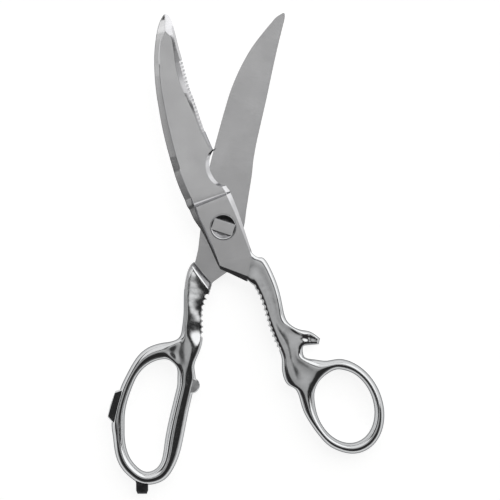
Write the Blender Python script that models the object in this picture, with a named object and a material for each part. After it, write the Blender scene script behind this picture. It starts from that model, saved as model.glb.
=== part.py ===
"""Forged poultry shears, lying on their back and open by thirty degrees.

Two steel forgings cross on a bolt. Each is one piece from blade tip to finger
bow: the rear half ends in the long finger bow with the lid prise and the
screwdriver tip, the front half in the small thumb bow with the cap lifter.
Both are drawn closed, with the blades along +Y and the bolt on the Z axis, and
are then swung apart about that axis. The back of the bolt's nut lies at z = 0.
"""

import math

import bmesh
import bpy
from mathutils import Matrix, Vector

MM = 0.001

# Driving sizes, in millimetres and degrees.
OPENING = 30.0
MATING_PLANE = 4.2
FACE_GAP = 0.3
LOW = 0.15
HIGH = 8.25
FULL_DEPTH = 8.4
BLADE_ROOT_THICKNESS = 3.2
BLADE_TIP_THICKNESS = 1.7
BLADE_LENGTH = 95.0
EDGE_LAND = 0.4
HEAD_RADIUS = 5.5
HEAD_THICKNESS = 1.6
HEAD_POCKET_DEPTH = 0.6
HEAD_POCKET_RADIUS = 5.0
HEAD_BAR_HALF_WIDTH = 2.2
HEAD_TURN = -18.0
BOLT_RADIUS = 2.3
BARREL_RADIUS = 3.5
BARREL_BORE = 2.6
BARREL_TOP = 5.7
NUT_CLOSED_END = 1.7
SPANNER_HOLE_RADIUS = 0.8
SPANNER_HOLE_DEPTH = 0.9
SPANNER_HOLE_CENTRE = 3.8
WASHER_INNER = 3.9
WASHER_OUTER = 5.3
WASHER_THICKNESS = 0.4
CLEARANCE = 0.3
ROUND_SIDES = 40
POCKET_STEPS = 12
GRIP_PITCH = 2.4
GRIP_DEPTH = 0.7
GRIP_FLANK = 0.96
SHARP_ANGLE = 35.0
CAGE_LEVELS = 1
CAGE_FIT_STEPS = 12

REAR_FACE = MATING_PLANE - FACE_GAP / 2
FRONT_FACE = MATING_PLANE + FACE_GAP / 2
HEAD_UNDERSIDE = FULL_DEPTH - HEAD_THICKNESS
FRONT_SEAT = HEAD_UNDERSIDE - WASHER_THICKNESS - 2 * CLEARANCE
REAR_SEAT = HEAD_THICKNESS + CLEARANCE
SEAT_RADIUS = HEAD_RADIUS + CLEARANCE
BORE_RADIUS = BARREL_RADIUS + CLEARANCE

# Blade stations from tip to block: spine point, edge point, width of the bevel
# along the spine and width of the bevel along the edge.
FRONT_BLADE = [
    ((-0.9, 94.95), (-0.1, 95.0), 0.3, 0.3),
    ((-1.7, 94.4), (0.4, 94.5), 0.8, 0.8),
    ((-2.7, 93.3), (1.1, 93.5), 1.8, 1.8),
    ((-5.3, 89.5), (1.6, 89.5), 3.2, 3.4),
    ((-6.5, 87.0), (1.6, 87.0), 3.4, 3.8),
    ((-7.5, 84.6), (1.6, 84.8), 2.3, 2.7),
    ((-9.2, 80.0), (1.5, 80.0), 2.3, 2.2),
    ((-11.2, 72.4), (1.6, 72.4), 2.4, 4.0),
    ((-13.0, 62.2), (1.6, 62.2), 2.6, 3.6),
    ((-13.5, 57.0), (2.1, 57.0), 2.7, 1.8),
    ((-14.0, 51.8), (2.5, 51.8), 2.8, 1.8),
    ((-14.5, 41.3), (3.2, 41.3), 3.0, 1.8),
    ((-14.5, 34.0), (4.4, 33.2), 3.0, 1.2),
]
REAR_BLADE = [
    ((1.6, 95.75), (0.9, 95.65), 0.2, 0.2),
    ((1.9, 95.1), (0.2, 94.9), 0.4, 0.4),
    ((2.2, 93.6), (-1.2, 93.4), 0.8, 0.8),
    ((2.3, 90.1), (-2.9, 90.1), 1.4, 1.4),
    ((2.4, 84.0), (-5.7, 84.0), 2.2, 2.0),
    ((2.6, 78.0), (-8.1, 78.0), 2.6, 2.2),
    ((3.0, 69.4), (-10.4, 69.4), 2.8, 2.2),
    ((3.6, 58.2), (-12.1, 58.2), 2.8, 2.2),
    ((4.0, 47.6), (-12.5, 47.6), 2.8, 2.2),
    ((4.5, 36.7), (-12.6, 36.7), 2.8, 2.2),
    ((5.0, 31.4), (-12.6, 31.4), 2.8, 2.0),
    ((6.0, 25.0), (-12.5, 25.0), 2.6, 1.8),
    ((6.8, 17.5), (-12.1, 17.5), 2.4, 1.6),
]
# The bone notch in the front blade: an arc of an ellipse about NOTCH_CENTRE,
# with a bevelled rim that leaves a narrow upright land.
NOTCH_CENTRE = (6.9, 25.2)
NOTCH_RADII = (6.0, 8.4)
NOTCH_FROM = 100.0
NOTCH_SWEEP = 158.0
NOTCH_STEPS = 8
NOTCH_SPINE = [(-14.3, 29.0), (-14.1, 24.0), (-13.6, 19.7), (-12.9, 15.2)]
NOTCH_SPINE_BEVEL = 3.0
NOTCH_RIM = 1.5
NOTCH_LAND = 1.6

# Block stations below the blades: spine point, edge point, two bevel widths.
# The front block stands proud of its blade above a step, and ends in a slope.
STEP_FOOT = ((-12.2, 10.9), (6.8, 13.6), 3.0, 1.4)
STEP_FOOT_LAND = 1.9
FRONT_BLOCK_LAND = 2.6
FRONT_BLOCK_SPINE = 0.6
FRONT_BLOCK_DROP = 1.2
REAR_BLOCK_LAND = 3.0
REAR_BLOCK_SPINE = 0.75
FRONT_BLOCK = [
    ((-11.9, 10.2), (6.9, 12.9), 3.0, 1.4),
    ((-11.1, 5.6), (7.8, 6.4), 2.6, 1.3),
    ((-9.0, 0.0), (8.3, 0.0), 1.7, 1.1),
    ((-7.8, -6.1), (8.7, -7.5), 1.2, 1.0),
    ((-7.0, -11.4), (9.2, -16.4), 1.0, 0.8),
    ((-6.3, -15.4), (4.9, -23.6), 0.9, 0.5),
]
FRONT_BLOCK_END = ((-5.9, -16.8), (3.8, -25.4), 0.9, 0.5)
REAR_BLOCK = [
    ((7.6, 10.0), (-11.2, 10.0), 1.4, 1.4),
    ((8.3, 4.9), (-10.4, 4.9), 1.2, 1.2),
    ((9.0, -3.0), (-9.2, -4.0), 1.0, 1.0),
    ((9.3, -9.0), (-8.0, -12.0), 0.9, 0.9),
    ((9.5, -12.6), (-7.8, -18.0), 0.8, 0.8),
    ((8.6, -15.8), (1.3, -24.6), 0.8, 0.8),
]

# Handle stations, from inside the block round to the end of the bow's top arc.
# Each is the grip-side point (which becomes the outside of the bow), the point
# facing it (which becomes the finger hole), lowest z, highest z and fullness:
# 0.71 makes an oval section, 0.9 one that is nearly square.
FRONT_SHANK = [
    ((1.6, -18.6), (7.6, -10.6), 4.9, 7.9, 0.88),
    ((4.2, -24.6), (10.2, -15.6), 4.5, HIGH, 0.88),
    ((5.9, -27.4), (13.3, -17.4), 0.9, HIGH, 0.86),
    ((6.8, -31.2), (15.2, -23.6), LOW, HIGH, 0.84),
    ((7.5, -36.6), (16.1, -31.6), LOW, HIGH, 0.82),
    ((7.6, -42.4), (15.8, -39.6), LOW, HIGH, 0.80),
    ((7.9, -47.8), (16.2, -46.4), LOW, HIGH, 0.78),
    ((8.5, -53.0), (18.4, -52.0), LOW, HIGH, 0.78),
    ((9.6, -58.6), (19.6, -58.9), LOW, HIGH, 0.78),
    ((9.3, -62.6), (19.3, -62.9), LOW, HIGH, 0.78),
    ((8.1, -66.6), (20.6, -69.0), LOW, HIGH, 0.78),
    ((9.0, -72.2), (21.0, -76.4), LOW, HIGH, 0.76),
    ((12.0, -75.6), (19.2, -79.6), LOW, HIGH, 0.74),
    ((12.6, -81.8), (18.3, -84.6), LOW, HIGH, 0.74),
    ((13.6, -89.0), (18.4, -90.4), LOW, HIGH, 0.74),
]
HOOK_AT = 6
THUMB_ARC_AT = 9
HOOK = [
    ((20.2, -51.3), (20.9, -57.9), 0.5, 7.9, 0.78),
    ((24.4, -53.4), (23.6, -58.5), 1.0, 7.4, 0.78),
    ((27.4, -56.4), (26.2, -59.2), 1.5, 6.9, 0.76),
]
# The thumb bow: two ellipses, from its left side round under to the top arc.
THUMB_CENTRE = (30.5, -87.9)
THUMB_HOLE = (12.3, 16.15)
THUMB_OUTSIDE = (16.3, 21.1)
THUMB_HOLE_TILT = 4.7
THUMB_OUTSIDE_TILT = 8.0
THUMB_ANGLES = [207, 228, 249, 270, 292, 315, 338, 1, 24, 47, 69, 88]
THUMB_ARC_END = ((23.2, -65.1), (24.2, -73.7), LOW, HIGH, 0.76)

REAR_SHANK = [
    ((3.6, -15.6), (-6.2, -11.0), 0.5, 3.6, 0.88),
    ((1.7, -24.6), (-7.9, -17.7), LOW, 3.9, 0.88),
    ((1.6, -26.4), (-9.2, -19.4), LOW, 6.6, 0.86),
    ((1.3, -28.6), (-9.9, -23.0), LOW, HIGH, 0.84),
    ((0.7, -33.0), (-9.3, -30.0), LOW, HIGH, 0.82),
    ((0.9, -38.0), (-8.1, -35.4), LOW, HIGH, 0.80),
    ((2.3, -42.4), (-6.7, -41.2), LOW, HIGH, 0.78),
    ((3.4, -47.0), (-5.9, -46.6), LOW, HIGH, 0.78),
    ((4.1, -51.6), (-6.2, -51.0), LOW, HIGH, 0.78),
    ((3.6, -57.0), (-6.6, -57.0), LOW, HIGH, 0.78),
    ((3.5, -61.2), (-3.9, -63.3), LOW, HIGH, 0.76),
    ((6.2, -65.4), (-2.4, -67.2), LOW, HIGH, 0.74),
    ((8.0, -69.2), (-1.6, -70.6), LOW, HIGH, 0.72),
    ((6.1, -73.4), (-1.4, -74.6), LOW, HIGH, 0.74),
    ((6.0, -79.4), (-1.3, -79.4), LOW, HIGH, 0.74),
    ((6.5, -87.0), (-1.1, -87.0), LOW, HIGH, 0.74),
    ((7.0, -95.0), (-0.5, -95.0), LOW, HIGH, 0.74),
    ((6.8, -102.0), (0.2, -101.6), LOW, HIGH, 0.74),
    ((5.0, -109.2), (-0.4, -106.0), LOW, HIGH, 0.74),
    ((1.2, -113.6), (-2.6, -109.1), LOW, HIGH, 0.74),
    ((-4.8, -115.8), (-6.0, -109.8), LOW, HIGH, 0.74),
    ((-11.0, -114.2), (-10.4, -108.3), LOW, HIGH, 0.74),
    ((-16.2, -110.8), (-14.0, -105.1), LOW, HIGH, 0.74),
    ((-20.0, -105.4), (-17.0, -99.8), LOW, HIGH, 0.74),
    ((-22.4, -99.6), (-18.6, -94.6), LOW, HIGH, 0.74),
    ((-24.3, -94.9), (-19.8, -90.0), LOW, HIGH, 0.74),
    ((-27.1, -91.0), (-20.3, -87.0), 0.4, 8.0, 0.66),
    ((-27.4, -86.4), (-20.5, -83.8), 0.4, 8.0, 0.66),
    ((-26.9, -81.0), (-20.4, -80.2), 0.4, 8.0, 0.66),
    ((-24.7, -77.2), (-20.1, -76.8), LOW, HIGH, 0.74),
    ((-23.6, -71.4), (-19.2, -71.6), LOW, HIGH, 0.74),
    ((-21.3, -63.4), (-16.8, -66.6), LOW, HIGH, 0.74),
    ((-17.2, -57.8), (-13.4, -63.2), LOW, HIGH, 0.74),
    ((-11.8, -54.5), (-9.8, -62.0), LOW, HIGH, 0.76),
]
FINGER_ARC_AT = 8

# Screwdriver tip below the finger bow: its place, way and length, and its
# sections as share of the length, width and depth.
DRIVER_ROOT = (-6.0, -112.4)
DRIVER_WAY = (0.259, -0.966)
DRIVER_LENGTH = 7.6
DRIVER_STEPS = [(0.0, 6.8, 5.2), (0.4, 5.2, 3.4), (0.82, 5.2, 1.4), (1.0, 4.0, 1.4)]

# Rows of transverse grip teeth along the facing sides of the two shanks.
FRONT_TEETH = [(5.7, -28.2), (7.2, -33.6), (7.6, -40.0), (7.7, -46.6), (8.4, -53.0), (9.4, -58.6)]
REAR_TEETH = [(0.8, -30.6), (0.75, -35.6), (1.6, -40.0), (3.0, -44.6), (3.8, -49.4)]


def clear_scene():
    """Remove whatever the file holds before the shears are made."""
    for item in list(bpy.data.objects):
        bpy.data.objects.remove(item, do_unlink=True)


def steel(name, colour, roughness):
    """Plated or bare steel, as a metallic Principled material."""
    material = bpy.data.materials.new(name)
    material.use_nodes = True
    shader = material.node_tree.nodes["Principled BSDF"]
    shader.inputs["Base Color"].default_value = (*colour, 1.0)
    shader.inputs["Metallic"].default_value = 1.0
    shader.inputs["Roughness"].default_value = roughness
    return material


def to_object(name, bm, material=None):
    """Turn a bmesh drawn in millimetres into an object in metres."""
    bmesh.ops.recalc_face_normals(bm, faces=bm.faces[:])
    bmesh.ops.scale(bm, vec=(MM, MM, MM), verts=bm.verts[:])
    mesh = bpy.data.meshes.new(name)
    bm.to_mesh(mesh)
    bm.free()
    made = bpy.data.objects.new(name, mesh)
    bpy.context.scene.collection.objects.link(made)
    if material:
        mesh.materials.append(material)
        mesh.shade_smooth()
        mesh.set_sharp_from_angle(angle=math.radians(SHARP_ANGLE))
    return made


def as_tool(shape):
    """Hide a shape that only adds to or cuts another."""
    shape.hide_render = True
    shape.display_type = "WIRE"
    return shape


def combine(target, tool, operation):
    """Join a tool to the target, or cut it away, with an exact Boolean."""
    boolean = target.modifiers.new(tool.name, "BOOLEAN")
    boolean.solver = "EXACT"
    boolean.operation = operation
    boolean.object = as_tool(tool)


def loft(bm, rings):
    """Skin closed rings of equal count and cap both ends."""
    loops = [[bm.verts.new(point) for point in ring] for ring in rings]
    for near, far in zip(loops, loops[1:]):
        count = len(near)
        for i in range(count):
            bm.faces.new((near[i], near[(i + 1) % count], far[(i + 1) % count], far[i]))
    bm.faces.new(loops[0])
    bm.faces.new(loops[-1])


def blade_ring(station, face, thickness, side, spine_share=0.5, edge_height=EDGE_LAND):
    """Six-point blade section: flat mating face, bevelled spine and edge."""
    spine, edge, spine_bevel, edge_bevel = station
    spine, edge = Vector(spine), Vector(edge)
    across = (edge - spine).normalized()
    inner_spine = spine + across * spine_bevel
    inner_edge = edge - across * edge_bevel
    outer = face + side * thickness
    return [
        (*spine, face),
        (*spine, face + side * thickness * spine_share),
        (*inner_spine, outer),
        (*inner_edge, outer),
        (*edge, face + side * edge_height),
        (*edge, face),
    ]


def blade_thickness(y):
    """The blades thin evenly from the block to the tip."""
    share = min(max(y / BLADE_LENGTH, 0.0), 1.0)
    return BLADE_ROOT_THICKNESS + share * (BLADE_TIP_THICKNESS - BLADE_ROOT_THICKNESS)


def notch_stations():
    """Blade stations round the bone notch, an elliptical bite in the edge."""
    stations = []
    for step in range(NOTCH_STEPS + 1):
        angle = math.radians(NOTCH_FROM + NOTCH_SWEEP * step / NOTCH_STEPS)
        x = NOTCH_CENTRE[0] + NOTCH_RADII[0] * math.cos(angle)
        y = NOTCH_CENTRE[1] + NOTCH_RADII[1] * math.sin(angle)
        position = step / NOTCH_STEPS * (len(NOTCH_SPINE) - 1)
        low = min(int(position), len(NOTCH_SPINE) - 2)
        spine = Vector(NOTCH_SPINE[low]).lerp(Vector(NOTCH_SPINE[low + 1]), position - low)
        stations.append((tuple(spine), (x, y), NOTCH_SPINE_BEVEL, NOTCH_RIM))
    return stations


def front_plate():
    """Front blade, bone notch and raised pivot block, above the mating plane."""
    bm = bmesh.new()
    depth = FULL_DEPTH - FRONT_FACE
    rings = [blade_ring(s, FRONT_FACE, blade_thickness(s[0][1]), 1) for s in FRONT_BLADE]
    for station in notch_stations():
        thickness = blade_thickness(station[0][1])
        rings.append(blade_ring(station, FRONT_FACE, thickness, 1, edge_height=NOTCH_LAND))
    rings.append(blade_ring(STEP_FOOT, FRONT_FACE, BLADE_ROOT_THICKNESS, 1, edge_height=STEP_FOOT_LAND))
    for station in FRONT_BLOCK:
        rings.append(blade_ring(station, FRONT_FACE, depth, 1, FRONT_BLOCK_SPINE, FRONT_BLOCK_LAND))
    rings.append(blade_ring(FRONT_BLOCK_END, FRONT_FACE, depth - FRONT_BLOCK_DROP, 1,
                            FRONT_BLOCK_SPINE, FRONT_BLOCK_LAND))
    loft(bm, rings)
    return bm


def rear_plate():
    """Rear blade and its block, below the mating plane."""
    bm = bmesh.new()
    rings = [blade_ring(s, REAR_FACE, blade_thickness(s[0][1]), -1) for s in REAR_BLADE]
    for station in REAR_BLOCK:
        rings.append(blade_ring(station, REAR_FACE, REAR_FACE, -1, REAR_BLOCK_SPINE, REAR_BLOCK_LAND))
    loft(bm, rings)
    return bm


def handle_section(bm, station):
    """Eight points round the handle: edge, upper and lower sides, edge."""
    grip, facing, low, high, fullness = station
    grip, facing = Vector(grip), Vector(facing)
    centre = (grip + facing) / 2
    reach = (facing - grip) / 2
    middle = (low + high) / 2
    half = (high - low) / 2
    around = [(-1, 0), (-1, 1), (0, 1), (1, 1), (1, 0), (1, -1), (0, -1), (-1, -1)]
    points = []
    for across, up in around:
        share = fullness if across and up else 1.0
        place = centre + reach * across * share
        points.append(bm.verts.new((place.x, place.y, middle + half * up * share)))
    return points


def skin(bm, near, far, left_open=()):
    """Join two eight-point sections, leaving the named columns open."""
    for column in range(8):
        if column in left_open:
            continue
        after = (column + 1) % 8
        bm.faces.new((near[column], near[after], far[after], far[column]))


def close_end(bm, section):
    """Cap an eight-point section."""
    for corners in ((0, 1, 7), (1, 2, 6, 7), (2, 3, 5, 6), (3, 4, 5)):
        bm.faces.new([section[i] for i in corners])


def side_ring(sections, start):
    """The eight points round a hole that spans two spans of the facing side."""
    upper, middle, lower = sections[start:start + 3]
    return [upper[4], upper[3], middle[3], lower[3], lower[4], lower[5], middle[5], upper[5]]


def fit_cage(bm):
    """Move the control points until the smooth surface passes through them."""
    wanted = {vert: vert.co.copy() for vert in bm.verts}
    for _ in range(CAGE_FIT_STEPS):
        moves = {}
        for vert in bm.verts:
            around = len(vert.link_faces)
            total = vert.co * around * around
            for edge in vert.link_edges:
                total += 4 * edge.other_vert(vert).co
            for face in vert.link_faces:
                far = [v for v in face.verts if v is not vert and not bm.edges.get((v, vert))]
                total += far[0].co if far else (vert.co + face.calc_center_median()) / 2
            moves[vert] = wanted[vert] - total / (around * (around + 5))
        for vert, move in moves.items():
            vert.co += move


def handle_cage(stations, arc_at, hook_at=None, hook=()):
    """One forged handle: shank and bow in a single chain, hook as a branch."""
    bm = bmesh.new()
    sections = [handle_section(bm, station) for station in stations]
    open_spans = {arc_at, arc_at + 1}
    if hook:
        open_spans |= {hook_at, hook_at + 1}
    for span, (near, far) in enumerate(zip(sections, sections[1:])):
        skin(bm, near, far, (3, 4) if span in open_spans else ())
    close_end(bm, sections[0])
    skin(bm, sections[-1], side_ring(sections, arc_at))
    holes = [arc_at]
    if hook:
        branch = [side_ring(sections, hook_at)] + [handle_section(bm, s) for s in hook]
        for near, far in zip(branch, branch[1:]):
            skin(bm, near, far)
        close_end(bm, branch[-1])
        holes.append(hook_at)
    for start in holes:
        bm.verts.remove(sections[start + 1][4])
    fit_cage(bm)
    return bm


def on_ellipse(radii, tilt, degrees):
    """A point of the thumb bow's tilted ellipse."""
    angle = math.radians(degrees)
    flat = Vector((radii[0] * math.cos(angle), radii[1] * math.sin(angle)))
    return Vector(THUMB_CENTRE) + Matrix.Rotation(math.radians(tilt), 2) @ flat


def thumb_stations():
    """Sections of the thumb bow from its left side round to the top arc."""
    stations = []
    for degrees in THUMB_ANGLES:
        outside = on_ellipse(THUMB_OUTSIDE, THUMB_OUTSIDE_TILT, degrees)
        hole = on_ellipse(THUMB_HOLE, THUMB_HOLE_TILT, degrees)
        stations.append((tuple(outside), tuple(hole), LOW, HIGH, 0.74))
    return stations + [THUMB_ARC_END]


def driver_tip():
    """Flat screwdriver tip, forged onto the foot of the finger bow."""
    bm = bmesh.new()
    way = Vector(DRIVER_WAY).normalized()
    side = Vector((-way.y, way.x))
    rings = []
    for share, width, depth in DRIVER_STEPS:
        centre = Vector(DRIVER_ROOT) + way * DRIVER_LENGTH * share
        ring = []
        for across, up in ((-1, -1), (1, -1), (1, 1), (-1, 1)):
            place = centre + side * across * width / 2
            ring.append((place.x, place.y, MATING_PLANE + up * depth / 2))
        rings.append(ring)
    loft(bm, rings)
    return bm


def along(points, pitch):
    """Places and directions at an even pitch along a row of points."""
    placed = []
    travelled = 0.0
    for start, end in zip(points, points[1:]):
        start, end = Vector(start), Vector(end)
        way = (end - start).normalized()
        while travelled <= (end - start).length:
            placed.append((start + way * travelled, way))
            travelled += pitch
        travelled -= (end - start).length
    return placed


def grip_cutters(points, into):
    """A row of upright three-sided bars that cut the grip teeth."""
    bm = bmesh.new()
    for place, way in along(points, GRIP_PITCH):
        across = Vector((-way.y, way.x)) * into
        corners = (place + across * GRIP_DEPTH,
                   place - across * GRIP_DEPTH - way * GRIP_FLANK,
                   place - across * GRIP_DEPTH + way * GRIP_FLANK)
        rings = [[(corner.x, corner.y, z) for corner in corners] for z in (-1.0, FULL_DEPTH + 1.0)]
        loft(bm, rings)
    return bm


def turned(profile, sides=ROUND_SIDES):
    """Turn a closed (radius, z) profile about the Z axis."""
    bm = bmesh.new()
    rings = []
    for step in range(sides):
        angle = math.tau * step / sides
        rings.append([(r * math.cos(angle), r * math.sin(angle), z) for r, z in profile])
    columns = [[bm.verts.new(point) for point in ring] for ring in rings]
    for near, far in zip(columns, columns[1:] + columns[:1]):
        for i in range(len(profile)):
            after = (i + 1) % len(profile)
            bm.faces.new((near[i], near[after], far[after], far[i]))
    bmesh.ops.remove_doubles(bm, verts=bm.verts[:], dist=0.001)
    return bm


def disc(radius, low, high):
    """A plain round bar along Z."""
    return turned([(0.0, low), (radius, low), (radius, high), (0.0, high)])


def pivot_cutters(name, low_seat, high_seat, target):
    """Cut a stepped hole for the bolt: a through bore and one wide seat."""
    combine(target, to_object(name + "_bore", disc(BORE_RADIUS, -2.0, FULL_DEPTH + 2.0)), "DIFFERENCE")
    combine(target, to_object(name + "_seat", disc(SEAT_RADIUS, low_seat, high_seat)), "DIFFERENCE")


def make_half(name, plate, cage, teeth, into, seat, material, extra=None):
    """Assemble one forging from its plate and its handle."""
    half = to_object(name, plate, material)
    handle = to_object(name + "_handle", cage)
    smooth = handle.modifiers.new("smooth", "SUBSURF")
    smooth.levels = CAGE_LEVELS
    smooth.render_levels = CAGE_LEVELS
    combine(half, handle, "UNION")
    if extra:
        combine(half, to_object(name + "_driver", extra), "UNION")
    combine(half, to_object(name + "_teeth", grip_cutters(teeth, into)), "DIFFERENCE")
    pivot_cutters(name, *seat, half)
    return half


def swing(half, degrees):
    """Turn a half and its tools about the bolt's axis."""
    half.rotation_euler = (0, 0, math.radians(degrees))
    for modifier in half.modifiers:
        modifier.object.parent = half


def make_bolt(material):
    """Round-headed bolt with a raised bar across its sunk head."""
    bolt = to_object("pivot_bolt", turned([
        (0.0, NUT_CLOSED_END + CLEARANCE), (BOLT_RADIUS, NUT_CLOSED_END + CLEARANCE),
        (BOLT_RADIUS, HEAD_UNDERSIDE), (HEAD_RADIUS, HEAD_UNDERSIDE),
        (HEAD_RADIUS, FULL_DEPTH), (0.0, FULL_DEPTH)]), material)
    for side in (1, -1):
        bm = bmesh.new()
        first = math.asin(HEAD_BAR_HALF_WIDTH / HEAD_POCKET_RADIUS)
        corners = []
        for step in range(POCKET_STEPS + 1):
            angle = first + (math.pi - 2 * first) * step / POCKET_STEPS
            corners.append((HEAD_POCKET_RADIUS * math.cos(angle),
                            side * HEAD_POCKET_RADIUS * math.sin(angle)))
        rings = [[(x, y, z) for x, y in corners] for z in (FULL_DEPTH - HEAD_POCKET_DEPTH, FULL_DEPTH + 1.0)]
        loft(bm, rings)
        combine(bolt, to_object("bolt_pocket_%d" % (side + 2), bm), "DIFFERENCE")
    swing(bolt, HEAD_TURN)
    return bolt


def make_nut(material):
    """Closed barrel nut with two spanner holes in its flange."""
    nut = to_object("pivot_nut", turned([
        (0.0, 0.0), (HEAD_RADIUS, 0.0), (HEAD_RADIUS, HEAD_THICKNESS), (BARREL_RADIUS, HEAD_THICKNESS),
        (BARREL_RADIUS, BARREL_TOP), (BARREL_BORE, BARREL_TOP),
        (BARREL_BORE, NUT_CLOSED_END), (0.0, NUT_CLOSED_END)]), material)
    for side in (1, -1):
        hole = disc(SPANNER_HOLE_RADIUS, -1.0, SPANNER_HOLE_DEPTH)
        bmesh.ops.translate(hole, verts=hole.verts[:], vec=(side * SPANNER_HOLE_CENTRE, 0, 0))
        combine(nut, to_object("spanner_hole_%d" % (side + 2), hole), "DIFFERENCE")
    return nut


def make_washer(material):
    """Flat ring of spring steel under the bolt's head."""
    low = FRONT_SEAT + CLEARANCE
    high = low + WASHER_THICKNESS
    return to_object("spring_washer", turned([
        (WASHER_INNER, low), (WASHER_OUTER, low), (WASHER_OUTER, high), (WASHER_INNER, high)]), material)


def build():
    clear_scene()
    forged = steel("forged_steel", (0.52, 0.52, 0.53), 0.30)
    plated = steel("plated_steel", (0.60, 0.60, 0.61), 0.16)
    spring = steel("spring_steel", (0.35, 0.35, 0.36), 0.40)
    front = make_half("front_half", front_plate(),
                      handle_cage(FRONT_SHANK + thumb_stations(), THUMB_ARC_AT, HOOK_AT, HOOK),
                      FRONT_TEETH, 1, (FRONT_SEAT, FULL_DEPTH + 2.0), forged)
    rear = make_half("rear_half", rear_plate(), handle_cage(REAR_SHANK, FINGER_ARC_AT),
                     REAR_TEETH, -1, (-2.0, REAR_SEAT), forged, driver_tip())
    swing(front, OPENING / 2)
    swing(rear, -OPENING / 2)
    make_bolt(plated)
    make_nut(plated)
    make_washer(spring)


build()
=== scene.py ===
"""Forged poultry shears, open on a pale bench.

Two nickel-chrome plated forgings with satin-ground blades cross on one bolt.
Each half is drawn closed in millimetres, blades along +Y and the bolt on the
Z axis, and is then swung open and set in metres where the frame holds it.
"""

import math

import bmesh
import bpy
import numpy as np
from mathutils import Matrix, Vector


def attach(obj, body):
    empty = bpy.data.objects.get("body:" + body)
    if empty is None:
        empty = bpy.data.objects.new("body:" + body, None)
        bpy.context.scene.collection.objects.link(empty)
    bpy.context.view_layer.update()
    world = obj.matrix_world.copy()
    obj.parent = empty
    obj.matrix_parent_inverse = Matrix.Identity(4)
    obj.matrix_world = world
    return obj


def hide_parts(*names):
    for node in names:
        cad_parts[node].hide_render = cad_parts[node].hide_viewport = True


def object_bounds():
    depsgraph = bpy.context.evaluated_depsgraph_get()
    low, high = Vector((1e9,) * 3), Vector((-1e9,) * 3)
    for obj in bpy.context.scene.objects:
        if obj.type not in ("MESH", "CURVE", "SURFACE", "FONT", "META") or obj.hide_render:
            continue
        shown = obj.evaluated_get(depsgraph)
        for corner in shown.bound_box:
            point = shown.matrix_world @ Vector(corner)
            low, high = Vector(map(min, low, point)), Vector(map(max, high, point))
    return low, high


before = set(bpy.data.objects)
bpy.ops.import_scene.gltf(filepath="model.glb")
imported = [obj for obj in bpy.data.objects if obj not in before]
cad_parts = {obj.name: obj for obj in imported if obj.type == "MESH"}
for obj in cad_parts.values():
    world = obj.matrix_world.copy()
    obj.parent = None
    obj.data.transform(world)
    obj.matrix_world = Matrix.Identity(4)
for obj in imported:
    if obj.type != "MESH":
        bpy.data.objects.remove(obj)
cad_low, cad_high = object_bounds()
scene = bpy.context.scene


# Camera: a long lens straight above the shears, the tips pointing up.
MM = 0.001
VIEW_SIDE = 215 * MM
VIEW_NUDGE = Vector((1.7 * MM, 1.4 * MM))
CAMERA_HEIGHT = 1.3
SENSOR_WIDTH = 36
LONG_LENS = SENSOR_WIDTH * CAMERA_HEIGHT / VIEW_SIDE

middle = (cad_low + cad_high) / 2
lens = bpy.data.cameras.new("bench_camera")
lens.sensor_width = SENSOR_WIDTH
lens.lens = LONG_LENS
lens.clip_start = 0.05
lens.clip_end = 20
camera = bpy.data.objects.new("bench_camera", lens)
camera.location = (middle.x + VIEW_NUDGE.x, middle.y + VIEW_NUDGE.y, CAMERA_HEIGHT + middle.z)
scene.collection.objects.link(camera)
scene.camera = camera
scene.view_settings.view_transform = "Standard"


# Light: a dim studio. A white ceiling card hangs round the lens, brighter on its
# far side. A pale band of wall stands at bench height. Two big soft boxes hang
# beyond the tips, one to the right, and one small lamp hangs on the left.
ROOM = 0.04
CEILING, CEILING_START, CEILING_FULL = 0.56, 0.976, 0.992
CEILING_LEAN, CEILING_LEAN_REACH = 0.22, 0.08
WALL, WALL_START, WALL_FULL = 1.1, 0.40, 0.18
WALL_SHADE_START, WALL_SHADE_END, WALL_SHADE = 0.0, -0.5, 0.12
# Each lamp: azimuth from +X, angle down from the zenith, the angles from its
# middle where it is full and where it ends, in degrees, and its brightness.
LAMPS = [
    (45, 50, 28, 34, 1.5),
    (103, 44, 25, 31, 1.1),
    (166, 29, 9, 16, 0.6),
]


def add_node(tree, kind, inputs=None, **settings):
    """Add a node. Each input is a plain value or another node's socket."""
    node = tree.nodes.new(kind)
    for name, value in settings.items():
        setattr(node, name, value)
    for name, value in (inputs or {}).items():
        if isinstance(value, bpy.types.NodeSocket):
            tree.links.new(value, node.inputs[name])
        else:
            node.inputs[name].default_value = value
    return node


studio = bpy.data.worlds.new("dim_studio")
studio.use_nodes = True
scene.world = studio
tree = studio.node_tree
backdrop = tree.nodes["Background"]
backdrop.inputs["Color"].default_value = (1, 1, 1, 1)
way = add_node(tree, "ShaderNodeTexCoord").outputs["Generated"]
split = add_node(tree, "ShaderNodeSeparateXYZ", {0: way}).outputs
height, ahead = split["Z"], split["Y"]
glow = add_node(tree, "ShaderNodeMapRange", {
    "Value": height, "From Min": CEILING_START, "From Max": CEILING_FULL,
    "To Min": ROOM, "To Max": CEILING}, interpolation_type="SMOOTHSTEP").outputs[0]
lean = add_node(tree, "ShaderNodeMapRange", {
    "Value": ahead, "From Min": -CEILING_LEAN_REACH, "From Max": CEILING_LEAN_REACH,
    "To Min": 1 - CEILING_LEAN, "To Max": 1 + CEILING_LEAN}).outputs[0]
glow = add_node(tree, "ShaderNodeMath", {0: glow, 1: lean}, operation="MULTIPLY").outputs[0]
wall = add_node(tree, "ShaderNodeMapRange", {
    "Value": height, "From Min": WALL_START, "From Max": WALL_FULL,
    "To Min": 0.0, "To Max": WALL}, interpolation_type="SMOOTHSTEP").outputs[0]
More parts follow.
